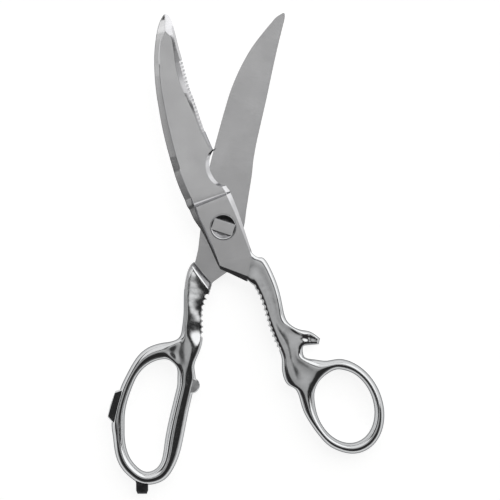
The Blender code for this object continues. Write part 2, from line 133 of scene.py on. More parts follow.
shade = add_node(tree, "ShaderNodeMapRange", {
    "Value": ahead, "From Min": WALL_SHADE_START, "From Max": WALL_SHADE_END,
    "To Min": 1.0, "To Max": WALL_SHADE}, interpolation_type="SMOOTHSTEP").outputs[0]
wall = add_node(tree, "ShaderNodeMath", {0: wall, 1: shade}, operation="MULTIPLY").outputs[0]
glow = add_node(tree, "ShaderNodeMath", {0: glow, 1: wall}, operation="ADD").outputs[0]
for azimuth, down, full, edge, brightness in LAMPS:
    lamp = Matrix.Rotation(math.radians(azimuth), 3, "Z") @ Matrix.Rotation(math.radians(down), 3, "Y")
    facing = add_node(tree, "ShaderNodeVectorMath", {0: way, 1: lamp @ Vector((0, 0, 1))},
                      operation="DOT_PRODUCT").outputs["Value"]
    spread = add_node(tree, "ShaderNodeMapRange", {
        "Value": facing, "From Min": math.cos(math.radians(edge)),
        "From Max": math.cos(math.radians(full)), "To Min": 0.0, "To Max": brightness},
        interpolation_type="SMOOTHSTEP").outputs[0]
    glow = add_node(tree, "ShaderNodeMath", {0: glow, 1: spread}, operation="MAXIMUM").outputs[0]
tree.links.new(glow, backdrop.inputs["Strength"])


# Bench: a white opal sheet lit from below, a hair under the shears.
BOARD_SIDE = 3.0
BOARD_DROP = 0.1 * MM
BOARD_GLOW = 0.85
PATCH_REACH = 0.2
GLOSS_DRIFT = 0.06


def linear(hex_colour):
    """An sRGB hex colour as linear red, green, blue and full alpha."""
    channels = [int(hex_colour[i:i + 2], 16) / 255 for i in (1, 3, 5)]
    return (*[c / 12.92 if c <= 0.04045 else ((c + 0.055) / 1.055) ** 2.4 for c in channels], 1.0)


def new_material(name):
    """An empty node material with its Principled shader."""
    material = bpy.data.materials.new(name)
    material.use_nodes = True
    return material, material.node_tree, material.node_tree.nodes["Principled BSDF"]


def drift(tree, noise, reach, low, high):
    """Stretch the middle of a noise, reach either side of a half, to a range."""
    return add_node(tree, "ShaderNodeMapRange", {
        "Value": noise, "From Min": 0.5 - reach, "From Max": 0.5 + reach,
        "To Min": low, "To Max": high}).outputs[0]


def tint(tree, shader, colour, tone):
    """Colour a shader, made lighter or darker by a tone round 1."""
    tinted = add_node(tree, "ShaderNodeVectorMath", {0: linear(colour)[:3], "Scale": tone},
                      operation="SCALE")
    tree.links.new(tinted.outputs["Vector"], shader.inputs["Base Color"])


def patchy(tree, shader, colour, roughness, patch_mm, spread):
    """Give a shader a colour and roughness that drift in patches of a size."""
    lay = add_node(tree, "ShaderNodeTexCoord").outputs["Object"]
    patches = add_node(tree, "ShaderNodeTexNoise", {
        "Vector": lay, "Scale": 1 / (patch_mm * MM), "Detail": 4.0,
        "Roughness": 0.6}).outputs["Fac"]
    tint(tree, shader, colour, drift(tree, patches, PATCH_REACH, 1 - spread, 1 + spread))
    gloss = drift(tree, patches, PATCH_REACH, roughness - GLOSS_DRIFT, roughness + GLOSS_DRIFT)
    tree.links.new(gloss, shader.inputs["Roughness"])


# The sheet's matt skin is very slightly cloudy, in patches as wide as a hand.
opal_sheet, tree, shader = new_material("white_opal_sheet")
patchy(tree, shader, "#9C9C9B", 0.9, 90.0, 0.02)
shader.inputs["Emission Color"].default_value = (1, 1, 1, 1)
shader.inputs["Emission Strength"].default_value = BOARD_GLOW
shader.inputs["Specular IOR Level"].default_value = 0.2
board_mesh = bpy.data.meshes.new("board")
half_side = BOARD_SIDE / 2
board_mesh.from_pydata([(-half_side, -half_side, cad_low.z - BOARD_DROP),
                        (half_side, -half_side, cad_low.z - BOARD_DROP),
                        (half_side, half_side, cad_low.z - BOARD_DROP),
                        (-half_side, half_side, cad_low.z - BOARD_DROP)], [], [(0, 1, 2, 3)])
board_mesh.materials.append(opal_sheet)
board = bpy.data.objects.new("board", board_mesh)
scene.collection.objects.link(board)


# Front half: one drop forging of carbon steel. The blade and the pivot block
# are ground flat and left satin, the bevels are polished, and the shank, the
# cap-lifter hook and the thumb bow are buffed and plated with nickel-chrome.
OPENING = 30.0
MATING_PLANE = 4.2
FACE_GAP = 0.3
FULL_DEPTH = 8.4
FRONT_FACE = MATING_PLANE + FACE_GAP / 2
BLADE_ROOT_THICKNESS = 3.2
BLADE_TIP_THICKNESS = 1.7
BLADE_LENGTH = 95.0
EDGE_LAND = 0.35
ROW_SPACING = 0.3

# The finishes: satin ground, polished, plated, a dark steel that paints shade and a dark reflection, and a
# darker steel that paints the shade in recesses.
SATIN, BRIGHT, PLATED, DARK, PAINTED_SHADE = range(5)

# Blade rows: spine x, y, edge x, y, spine bevel, edge facet, thickness lost.
FRONT_BLADE = [
    (-0.9, 94.9, -0.1, 94.95, 0.3, 0.3, 1.42),
    (-1.7, 94.4, 0.4, 94.5, 0.9, 0.9, 1.3),
    (-2.8, 93.3, 1.0, 93.5, 1.8, 1.8, 1.05),
    (-5.0, 90.1, 1.55, 90.1, 3.1, 3.2, 0.5),
    (-6.1, 87.9, 1.6, 87.9, 3.7, 3.8, 0.05),
    (-7.5, 84.6, 1.6, 84.8, 2.6, 2.3, 0.0),
    (-9.2, 80.0, 1.5, 80.0, 2.3, 2.4, 0.0),
    (-11.2, 72.4, 1.6, 72.4, 2.4, 3.5, 0.0),
    (-12.5, 65.6, 1.55, 65.6, 2.5, 3.7, 0.0),
    (-13.1, 61.2, 1.65, 61.2, 2.6, 3.2, 0.0),
    (-13.5, 57.0, 2.1, 57.0, 2.7, 2.9, 0.0),
    (-14.0, 51.8, 2.5, 51.8, 2.8, 2.5, 0.0),
    (-14.5, 41.3, 3.2, 41.3, 3.0, 1.9, 0.0),
    (-14.5, 34.0, 4.4, 33.2, 3.0, 1.3, 0.0),
]
SPINE_TILT = 0.14
SPINE_STEP, SPINE_STEP_FAINT = 0.26, 0.02
SPINE_STEP_TIP, SPINE_STEP_ROOT = (70.0, 75.0), (34.0, 28.0)
SPINE_STEP_WIDTH = 0.3
FACET_TILT = 0.17
FACET_FADE = (46.0, 57.0)
EDGE_BEVEL = 1.0
BEVEL_LIMIT = 0.48
CORNER_SHARE = 0.4
CHAMFER_SHARES = (0.0, 0.2, 0.4, 0.6)
BLOCK_WALL_WIDTH = 0.75
CRISP = 0.06
SERRATION_START, SERRATION_END = 41.6, 74.2
SERRATION_PITCH = 1.66
SERRATION_REACH = 1.5
SERRATION_BITE = 0.3
SERRATION_SINK = 0.5
RIDGE_BITE = 0.7


def through(rows, spacing):
    """Rows at an even spacing along a smooth curve through the given rows."""
    rows = np.array(rows, float)
    steps = np.linalg.norm(np.diff(rows[:, :4], axis=0), axis=1) / math.sqrt(2)
    at = np.concatenate(([0.0], np.cumsum(steps)))
    slopes = np.gradient(rows, at, axis=0)
    wanted = np.linspace(0, at[-1], max(2, round(at[-1] / spacing)) + 1)
    cell = np.clip(np.searchsorted(at, wanted) - 1, 0, len(at) - 2)
    span = (at[cell + 1] - at[cell])[:, None]
    t = (wanted - at[cell])[:, None] / span
    start, end = rows[cell], rows[cell + 1]
    rise, fall = slopes[cell] * span, slopes[cell + 1] * span
    return ((2 * t**3 - 3 * t**2 + 1) * start + (t**3 - 2 * t**2 + t) * rise
            + (3 * t**2 - 2 * t**3) * end + (t**3 - t**2) * fall)


def soften(corners):
    """Points and strip finishes of a closed section with rounded corners.

    Each corner is across, up, radius and the finish of the strip after it.
    """
    points, finishes = [], []
    for i, (x, y, radius, finish) in enumerate(corners):
        here = Vector((x, y))
        if radius:
            sides = [Vector(corners[(i + step) % len(corners)][:2]) - here for step in (-1, 1)]
            near, far = [here + side.normalized() * min(radius, CORNER_SHARE * side.length)
                         for side in sides]
            points += [near, (near + far) / 4 + here / 2, far]
            finishes += [BRIGHT, BRIGHT, finish]
        else:
            points.append(here)
            finishes.append(finish)
    return points, finishes


def set_across(corners, spine, edge, face, side):
    """Stand a softened section between a spine point and an edge point."""
    across = (edge - spine).normalized()
    points, finishes = soften(corners)
    placed = []
    for u, v in points:
        spot = spine + across * u
        placed.append((spot.x, spot.y, face + side * v))
    return placed, finishes


def thickness(y):
    """The blades thin evenly from the block to the tip."""
    share = min(max(y / BLADE_LENGTH, 0.0), 1.0)
    return BLADE_ROOT_THICKNESS + share * (BLADE_TIP_THICKNESS - BLADE_ROOT_THICKNESS)


def spine_step(y):
    """The grinding step along the spine, deep near the tip and the block."""
    rises = [(y - start) / (full - start) for start, full in (SPINE_STEP_TIP, SPINE_STEP_ROOT)]
    deep = min(max(*rises, 0.0), 1.0)
    return SPINE_STEP_FAINT + (SPINE_STEP - SPINE_STEP_FAINT) * deep


def blade_section(row, bite=0.0):
    """The front blade's section: bevelled spine, flat, light facet, edge."""
    spine, edge = Vector(row[0:2]), Vector(row[2:4])
    width, top, y = (edge - spine).length, row[6], row[3]
    spine_bevel = min(row[4], BEVEL_LIMIT * width)
    facet = min(row[5], BEVEL_LIMIT * width)
    bevel = min(SERRATION_REACH if bite else EDGE_BEVEL, 0.7 * facet)
    step = min(spine_step(y), 0.3 * top)
    spine_top = top - step - SPINE_TILT * spine_bevel
    fade = (y - FACET_FADE[0]) / (FACET_FADE[1] - FACET_FADE[0])
    tilt = FACET_TILT * min(max(fade, 0.0), 1.0)
    facet_end = top - tilt * (facet - bevel)
    land = min(EDGE_LAND, 0.5 * facet_end)
    scallop = SATIN if 0 < bite < RIDGE_BITE else BRIGHT
    return set_across([
        (0, 0, 0.1, SATIN), (0, spine_top, 0.25, SATIN),
        (spine_bevel - min(SPINE_STEP_WIDTH, 0.5 * spine_bevel), top - step, 0, BRIGHT),
        (spine_bevel, top, 0, SATIN), (width - facet - CRISP, top, 0, BRIGHT),
        (width - facet + CRISP, top - tilt * CRISP, 0, BRIGHT), (width - bevel, facet_end, 0, scallop),
        (width - bevel * 0.75, facet_end * 0.75 + land * 0.25 - SERRATION_SINK * bite, 0, scallop),
        (width - bevel / 2, (facet_end + land) / 2 - SERRATION_SINK * bite, 0, scallop),
        (width - SERRATION_BITE * bite, land - 0.05 * bite, 0, BRIGHT),
        (width - SERRATION_BITE * bite, 0, 0, SATIN)], spine, edge, FRONT_FACE, 1)


def block_section(row, top, land, wall=DARK, wall_width=BLOCK_WALL_WIDTH):
    """The section round the notch and the block: band, raised pad, chamfer."""
    spine, edge = Vector(row[0:2]), Vector(row[2:4])
    width, band, chamfer = (edge - spine).length, row[4], row[5]
    floor = min(thickness(row[1]), top) - spine_step(row[1])
    slope = [(width - chamfer * (1 - share), top - (top - land) * share, 0, BRIGHT)
             for share in CHAMFER_SHARES]
    # The strip up the pad's wall takes the wall finish, dark by default: painted shade in the corner.
    return set_across([
        (0, 0, 0.1, SATIN), (0, floor - SPINE_TILT * band, 0.2, SATIN),
        (band - min(wall_width, 0.5 * band), floor, 0, wall), (band, top, 0, SATIN),
        *slope, (width, land, 0, BRIGHT), (width, 0, 0, SATIN)], spine, edge, FRONT_FACE, 1)


def loft(bm, rings):
    """Skin closed rings of (points, strip finishes) and cap both ends."""
    loops = [[bm.verts.new(point) for point in points] for points, _ in rings]
    for near, far, (_, finishes) in zip(loops, loops[1:], rings[1:]):
        for i, finish in enumerate(finishes):
            after = (i + 1) % len(finishes)
            bm.faces.new((near[i], near[after], far[after], far[i])).material_index = finish
    for loop, (_, finishes) in zip((loops[0], loops[-1]), (rings[0], rings[-1])):
        bm.faces.new(loop).material_index = finishes[0]


def serration(y):
    """How deep the scalloped edge bites here, from 0 on a ridge to 1."""
    if not SERRATION_START < y < SERRATION_END:
        return 0.0
    phase = (y - SERRATION_START) / SERRATION_PITCH % 1
    return 4 * phase * (1 - phase)


rings = []
for row in through(FRONT_BLADE, ROW_SPACING):
    row[6] = thickness(row[1]) - max(row[6], 0)
    rings.append(blade_section(row, serration(row[3])))

# The bone notch: an elliptical bite with a broad polished rim.
NOTCH_CENTRE = (6.9, 25.2)
NOTCH_RADII = (6.0, 8.4)
NOTCH_FROM, NOTCH_SWEEP = 100, 158
NOTCH_STEPS = 40
NOTCH_SPINE = [(-14.4, 31.0), (-14.3, 26.5), (-14.0, 22.5), (-13.5, 18.6), (-12.9, 15.2)]
NOTCH_RIM = 1.7
NOTCH_LAND = 1.5
spine_line = through([(*point, *point) for point in NOTCH_SPINE], 0.1)
for step in range(NOTCH_STEPS + 1):
    share = step / NOTCH_STEPS
    angle = math.radians(NOTCH_FROM + NOTCH_SWEEP * share)
    spine = spine_line[round(share * (len(spine_line) - 1))]
    edge = (NOTCH_CENTRE[0] + NOTCH_RADII[0] * math.cos(angle),
            NOTCH_CENTRE[1] + NOTCH_RADII[1] * math.sin(angle))
    rings.append(block_section((spine[0], spine[1], *edge, 3.0, NOTCH_RIM),
                               thickness(spine[1]), NOTCH_LAND, BRIGHT, SPINE_STEP_WIDTH))

# The pivot block stands proud of the blade. Its foot is a bright ramp that dies
# out to the right, and its wall is coloured dark: painted shade. A row
# here adds its share of the rise and the finish of the strip before it.
STEP_ROWS = [
    ((-12.75, 12.9, 6.75, 14.2, 3.0, 1.8), 0.0, SATIN),
    ((-12.5, 12.0, 6.8, 14.05, 3.0, 1.8), 0.2, BRIGHT),
    ((-12.2, 11.2, 6.85, 13.4, 3.0, 1.9), 0.95, DARK),
    ((-12.05, 10.9, 6.85, 13.2, 3.0, 2.0), 1.0, PAINTED_SHADE),
]
FRONT_BLOCK = [
    (-12.0, 10.1, 6.9, 13.1, 3.0, 2.0),
    (-11.2, 6.0, 7.8, 6.8, 2.6, 1.8),
    (-9.1, 0.0, 8.3, 0.0, 1.8, 1.4),
    (-7.8, -6.1, 8.7, -7.5, 1.3, 1.0),
    (-7.0, -11.4, 9.2, -16.2, 1.0, 0.8),
]
BLOCK_FOOT = [
    ((-6.4, -15.0, 5.0, -23.2, 0.9, 0.5), 0.0),
    ((-6.3, -15.3, 4.85, -23.6, 0.9, 0.5), 0.06),
    ((-5.9, -17.0, 3.9, -25.3, 0.9, 0.5), 1.0),
]
BLOCK_TOP = FULL_DEPTH - FRONT_FACE
BLOCK_LAND = 2.6
FOOT_LAND = 1.9
FLAT_STRIP = 7
for row, share, finish in STEP_ROWS:
    blade_top = thickness(row[1])
    points, finishes = block_section(row, blade_top + (BLOCK_TOP - blade_top) * share,
                                     FOOT_LAND + (BLOCK_LAND - FOOT_LAND) * share)
    finishes[FLAT_STRIP] = finish
    rings.append((points, finishes))
for row in through(FRONT_BLOCK, 1.5)[1:]:
    rings.append(block_section(row, BLOCK_TOP, BLOCK_LAND))
for row, sunk in BLOCK_FOOT:
    rings.append(block_section(row, BLOCK_TOP - sunk, BLOCK_LAND - sunk * 0.4))
front_plate = bmesh.new()
loft(front_plate, rings)

# Handle sections, from inside the block round to the end of the bow's top
# arc: the grip-side point, which becomes the outside of the bow, the point
# facing it, which becomes the finger hole, lowest z, highest z and fullness
# (0.71 is an oval section, 0.9 nearly square). A section may add the fullness
# of its shoulders and how far its crown leans to the facing side.
LOW, HIGH = 0.15, 8.25
FRONT_SHANK = [
    ((1.6, -18.6), (7.6, -10.6), 4.9, 7.9, 0.88, 0.88),
    ((4.2, -24.6), (10.2, -15.6), 4.5, HIGH, 0.88, 0.93),
    ((5.9, -27.4), (13.3, -17.4), 0.9, HIGH, 0.86, 0.94),
    ((6.8, -31.2), (15.2, -23.6), LOW, HIGH, 0.84, 0.94),
    ((7.5, -36.6), (16.1, -31.6), LOW, HIGH, 0.82, 0.94),
    ((7.6, -42.4), (15.8, -39.6), LOW, HIGH, 0.80, 0.93),
    ((7.9, -47.8), (16.2, -46.4), LOW, HIGH, 0.78, 0.93),
    ((8.5, -53.0), (18.4, -52.0), LOW, HIGH, 0.78, 0.95),
    ((9.6, -58.6), (19.6, -58.9), LOW, HIGH, 0.78, 0.97),
    ((9.3, -62.6), (19.3, -62.9), LOW, HIGH, 0.78, 0.97),
    ((8.4, -66.6), (20.6, -69.0), LOW, HIGH, 0.78, 0.95),
    ((9.0, -72.2), (21.0, -76.4), LOW, HIGH, 0.76, 0.90),
    ((12.0, -75.6), (19.2, -79.6), LOW, HIGH, 0.74, 0.82),
    ((12.6, -81.8), (18.3, -84.6), LOW, HIGH, 0.74),
    ((13.6, -89.0), (18.4, -90.4), LOW, HIGH, 0.74),
]
HOOK_AT, THUMB_ARC_AT = 6, 9
HOOK = [
    ((20.4, -51.0), (20.9, -58.3), 0.4, 8.05, 0.80, 0.95),
    ((24.5, -53.1), (23.7, -58.7), 0.8, 7.8, 0.80, 0.94),
    ((27.4, -56.4), (26.2, -59.2), 1.2, 7.5, 0.78, 0.92),
]
THUMB_CENTRE = (30.5, -87.9)
THUMB_HOLE, THUMB_HOLE_TILT = (12.3, 16.15), 4.7
THUMB_OUTSIDE, THUMB_OUTSIDE_TILT = (16.2, 21.05), 8.0
THUMB_ANGLES = [207, 228, 249, 270, 292, 315, 338, 1, 24, 47, 69, 88]
THUMB_ARC_END = ((23.2, -65.1), (24.2, -73.7), LOW, HIGH, 0.76)
SMOOTH_LEVELS = 3
CAGE_FIT_STEPS = 12
CROWN_DROP = 0.5


def handle_section(bm, station):
    """Eight points round the handle: edge, upper and lower sides, edge."""
    grip, facing, low, high, fullness, *shape = station
    grip, facing = Vector(grip), Vector(facing)
    centre, reach = (grip + facing) / 2, (facing - grip) / 2
    centre_z, half = (low + high) / 2, (high - low) / 2
    shoulder, lean = (shape + [fullness, 0.0][len(shape):])
    points = []
    for across, up in ((-1, 0), (-1, 1), (0, 1), (1, 1), (1, 0), (1, -1), (0, -1), (-1, -1)):
        sideways, upward = (across * fullness, up * shoulder) if across and up else (across, up)
        if up > 0:
            sideways += lean * (1 - abs(across))
            upward *= 1 - CROWN_DROP * max(0.0, -lean * across)
        spot = centre + reach * sideways
        points.append(bm.verts.new((spot.x, spot.y, centre_z + half * upward)))
    return points


def skin(bm, near, far, left_open=()):
    """Join two eight-point sections, leaving the named columns open."""
    for column in set(range(8)) - set(left_open):
        after = (column + 1) % 8
        bm.faces.new((near[column], near[after], far[after], far[column]))


def close_end(bm, section):
    """Cap an eight-point section."""
    for corners in ((0, 1, 7), (1, 2, 6, 7), (2, 3, 5, 6), (3, 4, 5)):
        bm.faces.new([section[i] for i in corners])


def side_ring(sections, start):
    """The eight points round a hole across two spans of the facing side."""
    upper, centre, lower = sections[start:start + 3]
    return [upper[4], upper[3], centre[3], lower[3], lower[4], lower[5], centre[5], upper[5]]


def fit_cage(bm):
    """Move the control points until the smooth surface passes through them."""
    wanted = {vert: vert.co.copy() for vert in bm.verts}
    for _ in range(CAGE_FIT_STEPS):
        moves = {}
        for vert in bm.verts:
            around = len(vert.link_faces)
            total = vert.co * around * around
            for edge in vert.link_edges:
                total += 4 * edge.other_vert(vert).co
            for face in vert.link_faces:
                far = [v for v in face.verts if v is not vert and not bm.edges.get((v, vert))]
                total += far[0].co if far else (vert.co + face.calc_center_median()) / 2
            moves[vert] = wanted[vert] - total / (around * (around + 5))
        for vert, move in moves.items():
            vert.co += move


def handle_cage(stations, arc_at, hook_at=None, hook=()):
    """One forged handle: shank and bow in a single chain, hook as a branch."""
    bm = bmesh.new()
    sections = [handle_section(bm, station) for station in stations]
    starts = [arc_at] + ([hook_at] if hook else [])
    open_spans = {start + i for start in starts for i in (0, 1)}
    for span, (near, far) in enumerate(zip(sections, sections[1:])):
        skin(bm, near, far, (3, 4) if span in open_spans else ())
    close_end(bm, sections[0])
    skin(bm, sections[-1], side_ring(sections, arc_at))
    if hook:
        branch = [side_ring(sections, hook_at)] + [handle_section(bm, s) for s in hook]
        for near, far in zip(branch, branch[1:]):
            skin(bm, near, far)
        close_end(bm, branch[-1])
    for start in starts:
        bm.verts.remove(sections[start + 1][4])
    fit_cage(bm)
    for face in bm.faces:
        face.material_index = PLATED
    return bm


def on_ellipse(radii, tilt, degrees):
    """A point of the thumb bow's tilted ellipse."""
    angle = math.radians(degrees)
    flat = Vector((radii[0] * math.cos(angle), radii[1] * math.sin(angle)))
    return Vector(THUMB_CENTRE) + Matrix.Rotation(math.radians(tilt), 2) @ flat


thumb_bow = [(on_ellipse(THUMB_OUTSIDE, THUMB_OUTSIDE_TILT, degrees),
              on_ellipse(THUMB_HOLE, THUMB_HOLE_TILT, degrees), LOW, HIGH, 0.71)
             for degrees in THUMB_ANGLES]
front_cage = handle_cage(FRONT_SHANK + thumb_bow + [THUMB_ARC_END], THUMB_ARC_AT, HOOK_AT, HOOK)

# Grip teeth are milled across the inner side of the shank, a fine row of
# round-bottomed cuts. The seat for the bolt's head and its bore are
# drilled in the block. Each finished piece is kept a hair inside both faces.
GRIP_PITCH = 2.4
GRIP_DEPTH = 0.65
GRIP_RADIUS = 1.05
GRIP_SIDES = 16
GRIP_LEAN = 0.9
GRIP_OVERCUT = 0.5
BORE_OVERCUT = 2.0
FRONT_TEETH = [(5.7, -28.2), (7.2, -33.6), (7.6, -40.0), (7.7, -46.6), (8.4, -53.0), (9.4, -58.6)]
HEAD_RADIUS = 5.5
HEAD_THICKNESS = 1.6
CLEARANCE = 0.3
WASHER_THICKNESS = 0.4
FRONT_SEAT = FULL_DEPTH - HEAD_THICKNESS - WASHER_THICKNESS - 2 * CLEARANCE
SEAT_RADIUS = HEAD_RADIUS + CLEARANCE
BORE_RADIUS = 3.8
ROUND_SIDES = 96
FACE_ALLOWANCE = 0.01


def grip_cutters(points, into):
    """Upright round bars at an even pitch, set into the edge of the shank."""
    bm = bmesh.new()
    travelled = 0.0
    for start, end in zip(points, points[1:]):
        start, end = Vector(start), Vector(end)
        way = (end - start).normalized()
        across = Vector((-way.y, way.x)) * into
        while travelled <= (end - start).length:
            centre = start + way * travelled + across * (GRIP_DEPTH - GRIP_RADIUS)
            rings = []
            for z, inward in ((-GRIP_OVERCUT, GRIP_LEAN), (MATING_PLANE, 0),
                              (FULL_DEPTH + GRIP_OVERCUT, GRIP_LEAN)):
                middle = centre + across * inward
                ring = [(middle.x + GRIP_RADIUS * math.cos(math.tau * i / GRIP_SIDES),
                         middle.y + GRIP_RADIUS * math.sin(math.tau * i / GRIP_SIDES), z)
                        for i in range(GRIP_SIDES)]
                # The cut faces take the darker recess steel: painted shade in the teeth.
                rings.append((ring, [PAINTED_SHADE] * GRIP_SIDES))
            loft(bm, rings)
            travelled += GRIP_PITCH
        travelled -= (end - start).length
    return bm


def turned(profile, sides=ROUND_SIDES):
    """Turn a closed profile of (radius, z, finish after it) about the Z axis."""
    bm = bmesh.new()
    columns = []
    for step in range(sides):
        angle = math.tau * step / sides
        columns.append([bm.verts.new((r * math.cos(angle), r * math.sin(angle), z))
                        for r, z, _ in profile])
    for near, far in zip(columns, columns[1:] + columns[:1]):
        for i, (_, _, finish) in enumerate(profile):
            after = (i + 1) % len(profile)
            bm.faces.new((near[i], near[after], far[after], far[i])).material_index = finish
    bmesh.ops.remove_doubles(bm, verts=bm.verts[:], dist=0.0005)
    return bm


def disc(radius, low, high, sides=ROUND_SIDES):
    """A plain round bar along Z."""
    return turned([(0.0, low, BRIGHT), (radius, low, BRIGHT),
                   (radius, high, BRIGHT), (0.0, high, BRIGHT)], sides)


def raw_object(name, bm):
    """A bmesh in millimetres as an object, its faces turned outward."""
    bmesh.ops.recalc_face_normals(bm, faces=bm.faces[:])
    mesh = bpy.data.meshes.new(name)
    bm.to_mesh(mesh)
    bm.free()
    made = bpy.data.objects.new(name, mesh)
    scene.collection.objects.link(made)
    return made


def assemble(name, body_bm, steps, materials, swing, body, node, sharp=30, cage=None):
    """Join and cut the raw shapes, then set the finished piece in the frame."""
    base = raw_object(name, body_bm)
    tools = []
    for index, (operation, tool_bm) in enumerate(steps):
        tool = raw_object("%s_tool_%d" % (name, index), tool_bm)
        tools.append(tool)
        if index == cage:
            smooth = tool.modifiers.new("smooth", "SUBSURF")
            smooth.levels = smooth.render_levels = SMOOTH_LEVELS
        join = base.modifiers.new("join_%d" % index, "BOOLEAN")
        join.solver = "EXACT"
        join.operation = operation
        join.object = tool
    for material in materials:
        base.data.materials.append(material)
    shapes = bpy.context.evaluated_depsgraph_get()
    mesh = bpy.data.meshes.new_from_object(base.evaluated_get(shapes))
    for tool in [base] + tools:
        bpy.data.objects.remove(tool)
    drawn = np.zeros(len(mesh.vertices) * 3, np.float32)
    mesh.vertices.foreach_get("co", drawn)
    drawn[2::3] = drawn[2::3].clip(FACE_ALLOWANCE, FULL_DEPTH - FACE_ALLOWANCE)
    mesh.vertices.foreach_set("co", drawn)
    lay = mesh.attributes.new("lay", "FLOAT_VECTOR", "POINT")
    lay.data.foreach_set("vector", drawn)
    mesh.transform(Matrix.Rotation(math.radians(swing), 4, "Z") @ Matrix.Scale(MM, 4))
    mesh.shade_smooth()
    mesh.set_sharp_from_angle(angle=math.radians(sharp))
    piece = bpy.data.objects.new(name, mesh)
    scene.collection.objects.link(piece)
    weigh = piece.modifiers.new("even_normals", "WEIGHTED_NORMAL")
    weigh.keep_sharp = True
    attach(piece, body)
    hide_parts(node)
    return piece


# Satin-ground carbon steel: belt-ground across the blade with about 240 grit.
# The real scratches are 0.06 mm apart; they are drawn at 0.35 mm to show. It
# blurs what it mirrors, and rubbing has darkened it near the bolt. Seen almost
# edge-on it turns greyer.
ROOT_TONE, ROOT_FROM, ROOT_TO = 0.82, -8.0, 30.0
EDGE_COLOUR = "#77787A"
LINE_REACH = 0.25
LINE_STRETCH = 0.06
LINE_GLOSS = 0.05
LINE_RELIEF = 0.02 * MM
CLOUDS_PER_MM = 0.09


def ground_steel(name, colour, roughness, line_mm, depth):
    """Steel with fine transverse grinding lines and faint cloud."""
    material, tree, shader = new_material(name)
    lay = add_node(tree, "ShaderNodeAttribute", attribute_name="lay").outputs["Vector"]
    across = add_node(tree, "ShaderNodeVectorMath", {
        0: lay, 1: (LINE_STRETCH / line_mm, 1 / line_mm, LINE_STRETCH / line_mm)},
        operation="MULTIPLY").outputs["Vector"]
    lines = add_node(tree, "ShaderNodeTexNoise", {"Vector": across, "Scale": 1.0, "Detail": 3.0,
                                                  "Roughness": 0.6}).outputs["Fac"]
    cloud = add_node(tree, "ShaderNodeTexNoise", {"Vector": lay, "Scale": CLOUDS_PER_MM,
                                                  "Detail": 2.0}).outputs["Fac"]
    tone = drift(tree, cloud, PATCH_REACH, 0.94, 1.04)
    shade = drift(tree, lines, LINE_REACH, 0.95, 1.05)
    along = add_node(tree, "ShaderNodeSeparateXYZ", {0: lay}).outputs["Y"]
    rubbed = add_node(tree, "ShaderNodeMapRange", {
        "Value": along, "From Min": ROOT_FROM, "From Max": ROOT_TO,
        "To Min": ROOT_TONE, "To Max": 1.0}).outputs[0]
    both = add_node(tree, "ShaderNodeMath", {0: tone, 1: shade}, operation="MULTIPLY").outputs[0]
    both = add_node(tree, "ShaderNodeMath", {0: both, 1: rubbed}, operation="MULTIPLY").outputs[0]
    tint(tree, shader, colour, both)
    gloss = drift(tree, lines, LINE_REACH, roughness - LINE_GLOSS, roughness + LINE_GLOSS)
    tree.links.new(gloss, shader.inputs["Roughness"])
    grain = add_node(tree, "ShaderNodeBump", {"Height": lines, "Strength": depth, "Distance": LINE_RELIEF})
    tree.links.new(grain.outputs["Normal"], shader.inputs["Normal"])
    shader.inputs["Specular Tint"].default_value = linear(EDGE_COLOUR)
    shader.inputs["Metallic"].default_value = 1.0
    return material


satin_steel = ground_steel("satin_ground_carbon_steel", "#E3E3E4", 0.22, 0.35, 0.3)
rear_satin_steel = ground_steel("satin_ground_rear_blade", "#DADADB", 0.22, 0.35, 0.3)
polished_steel = ground_steel("polished_bevel_steel", "#CDCDCF", 0.16, 0.5, 0.25)


# Nickel-chrome plate over a buffed forging: a neutral mirror that is never
# quite flat. Buffing leaves waves about 4.5 mm long, and hands a thin haze.
WAVES_PER_MM = 0.22
WAVE_RELIEF = 0.5 * MM
HAZE_PER_MM = 0.5
HAZE_FROM, HAZE_TO = 0.35, 0.75
HAZE_ROUGHNESS = 0.09


def chrome_plate(name, colour, roughness):
    """Bright plating with buffing waves and faint handling haze."""
    material, tree, shader = new_material(name)
    lay = add_node(tree, "ShaderNodeAttribute", attribute_name="lay").outputs["Vector"]
    waves = add_node(tree, "ShaderNodeTexNoise", {"Vector": lay, "Scale": WAVES_PER_MM,
                                                  "Detail": 1.5}).outputs["Fac"]
    haze = add_node(tree, "ShaderNodeTexNoise", {"Vector": lay, "Scale": HAZE_PER_MM, "Detail": 4.0,
                                                 "Roughness": 0.6}).outputs["Fac"]
    gloss = add_node(tree, "ShaderNodeMapRange", {
        "Value": haze, "From Min": HAZE_FROM, "From Max": HAZE_TO,
        "To Min": roughness, "To Max": roughness + HAZE_ROUGHNESS}).outputs[0]
    tree.links.new(gloss, shader.inputs["Roughness"])
    bump = add_node(tree, "ShaderNodeBump", {"Height": waves, "Strength": 0.12,
                                             "Distance": WAVE_RELIEF})
    tree.links.new(bump.outputs["Normal"], shader.inputs["Normal"])
    shader.inputs["Base Color"].default_value = linear(colour)
    shader.inputs["Specular Tint"].default_value = linear(EDGE_COLOUR)
    shader.inputs["Metallic"].default_value = 1.0
    return material


plated_steel = chrome_plate("nickel_chrome_plate", "#CFD0D1", 0.09)


# Dark bare steel whose tone drifts in patches 3 mm across. The screwdriver tip and the block's walls have
# it:
# its darker colour paints the shade on the block's walls and a dark reflection on the tip. It also looks
# black where it mirrors the dark of the room.
painted_dark_steel, tree, shader = new_material("painted_dark_bare_steel")
patchy(tree, shader, "#8E8E91", 0.36, 3.0, 0.25)
shader.inputs["Metallic"].default_value = 1.0

# A darker steel paints the shade in the grip teeth, on the collar's slope and in the bolt's sunk segments,
# so they mirror dimly. Its tone drifts in patches about 1.5 mm across.
recess_shade_steel, tree, shader = new_material("painted_recess_shade_steel")
patchy(tree, shader, "#8A8A8C", 0.22, 1.5, 0.25)
shader.inputs["Metallic"].default_value = 1.0

